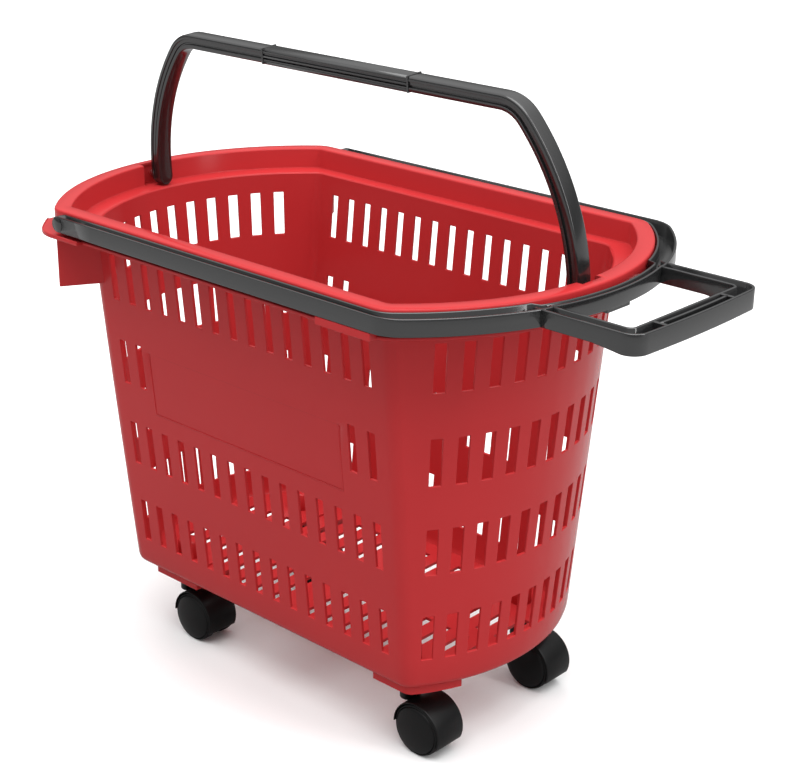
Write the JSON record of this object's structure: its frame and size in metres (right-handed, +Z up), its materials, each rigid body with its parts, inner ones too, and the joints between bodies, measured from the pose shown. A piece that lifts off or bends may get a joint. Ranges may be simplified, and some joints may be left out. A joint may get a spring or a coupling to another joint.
{
  "type": "rolling shopping basket",
  "caption": "Slotted plastic shopping basket on twin-wheel swivel casters, with a folding carry handle over the mouth and a long pull handle hinged around its rim.",
  "frame": {"origin": "on the ground under the middle of the outline box, with the casters standing on z = 0", "axes": "+Z up, +X along the basket's length towards the grip of the pull handle, +Y across to the basket's left side"},
  "size_m": [0.6472, 0.3634, 0.5698],
  "materials": {
    "basket_plastic": "satin moulded red polypropylene",
    "handle_plastic": "satin moulded dark grey plastic",
    "caster_plastic": "matte black moulded plastic",
    "tyre": "matte black soft tread",
    "steel": "zinc plated"
  },
  "bodies": {
    "basket": {"basket_body": "basket_plastic", "pull_hinge_pin_left": "steel", "pull_hinge_pin_right": "steel"},
    "carry_bail": {"carry_handle": "handle_plastic", "carry_grip_sleeve": "handle_plastic", "carry_pivot_pin_front": "steel", "carry_pivot_pin_rear": "steel"},
    "pull_handle": {"pull_handle_frame": "handle_plastic"},
    "caster_front_left": {"caster_stem_front_left": "steel", "caster_hood_front_left": "caster_plastic", "caster_axle_front_left": "steel"},
    "wheel_front_left_left": {"wheel_front_left_left": "tyre", "wheel_cap_front_left_left": "caster_plastic"},
    "wheel_front_left_right": {"wheel_front_left_right": "tyre", "wheel_cap_front_left_right": "caster_plastic"},
    "caster_front_right": {"caster_stem_front_right": "steel", "caster_hood_front_right": "caster_plastic", "caster_axle_front_right": "steel"},
    "wheel_front_right_left": {"wheel_front_right_left": "tyre", "wheel_cap_front_right_left": "caster_plastic"},
    "wheel_front_right_right": {"wheel_front_right_right": "tyre", "wheel_cap_front_right_right": "caster_plastic"},
    "caster_rear_left": {"caster_stem_rear_left": "steel", "caster_hood_rear_left": "caster_plastic", "caster_axle_rear_left": "steel"},
    "wheel_rear_left_left": {"wheel_rear_left_left": "tyre", "wheel_cap_rear_left_left": "caster_plastic"},
    "wheel_rear_left_right": {"wheel_rear_left_right": "tyre", "wheel_cap_rear_left_right": "caster_plastic"},
    "caster_rear_right": {"caster_stem_rear_right": "steel", "caster_hood_rear_right": "caster_plastic", "caster_axle_rear_right": "steel"},
    "wheel_rear_right_left": {"wheel_rear_right_left": "tyre", "wheel_cap_rear_right_left": "caster_plastic"},
    "wheel_rear_right_right": {"wheel_rear_right_right": "tyre", "wheel_cap_rear_right_right": "caster_plastic"}
  },
  "joints": [
    {"name": "carry_handle_fold", "type": "hinge", "parent": "basket", "child": "carry_bail", "pos_m": [-0.0434, 0, 0.4218], "axis": [1, 0, 0], "range_deg": [-95, 85]},
    {"name": "pull_handle_lift", "type": "hinge", "parent": "basket", "child": "pull_handle", "pos_m": [-0.2204, 0, 0.42365], "axis": [0, -1, 0], "range_deg": [0, 110]},
    {"name": "swivel_front_left", "type": "hinge", "parent": "basket", "child": "caster_front_left", "pos_m": [0.1046, 0.076, 0.06], "axis": [0, 0, 1], "continuous": true},
    {"name": "roll_front_left_left", "type": "hinge", "parent": "caster_front_left", "child": "wheel_front_left_left", "pos_m": [0.1266, 0.0874, 0.024], "axis": [0, 1, 0], "continuous": true},
    {"name": "roll_front_left_right", "type": "hinge", "parent": "caster_front_left", "child": "wheel_front_left_right", "pos_m": [0.1266, 0.0646, 0.024], "axis": [0, 1, 0], "continuous": true},
    {"name": "swivel_front_right", "type": "hinge", "parent": "basket", "child": "caster_front_right", "pos_m": [0.1046, -0.076, 0.06], "axis": [0, 0, 1], "continuous": true},
    {"name": "roll_front_right_left", "type": "hinge", "parent": "caster_front_right", "child": "wheel_front_right_left", "pos_m": [0.1266, -0.0646, 0.024], "axis": [0, 1, 0], "continuous": true},
    {"name": "roll_front_right_right", "type": "hinge", "parent": "caster_front_right", "child": "wheel_front_right_right", "pos_m": [0.1266, -0.0874, 0.024], "axis": [0, 1, 0], "continuous": true},
    {"name": "swivel_rear_left", "type": "hinge", "parent": "basket", "child": "caster_rear_left", "pos_m": [-0.1854, 0.076, 0.06], "axis": [0, 0, 1], "continuous": true},
    {"name": "roll_rear_left_left", "type": "hinge", "parent": "caster_rear_left", "child": "wheel_rear_left_left", "pos_m": [-0.1634, 0.0874, 0.024], "axis": [0, 1, 0], "continuous": true},
    {"name": "roll_rear_left_right", "type": "hinge", "parent": "caster_rear_left", "child": "wheel_rear_left_right", "pos_m": [-0.1634, 0.0646, 0.024], "axis": [0, 1, 0], "continuous": true},
    {"name": "swivel_rear_right", "type": "hinge", "parent": "basket", "child": "caster_rear_right", "pos_m": [-0.1854, -0.076, 0.06], "axis": [0, 0, 1], "continuous": true},
    {"name": "roll_rear_right_left", "type": "hinge", "parent": "caster_rear_right", "child": "wheel_rear_right_left", "pos_m": [-0.1634, -0.0646, 0.024], "axis": [0, 1, 0], "continuous": true},
    {"name": "roll_rear_right_right", "type": "hinge", "parent": "caster_rear_right", "child": "wheel_rear_right_right", "pos_m": [-0.1634, -0.0874, 0.024], "axis": [0, 1, 0], "continuous": true}
  ]
}
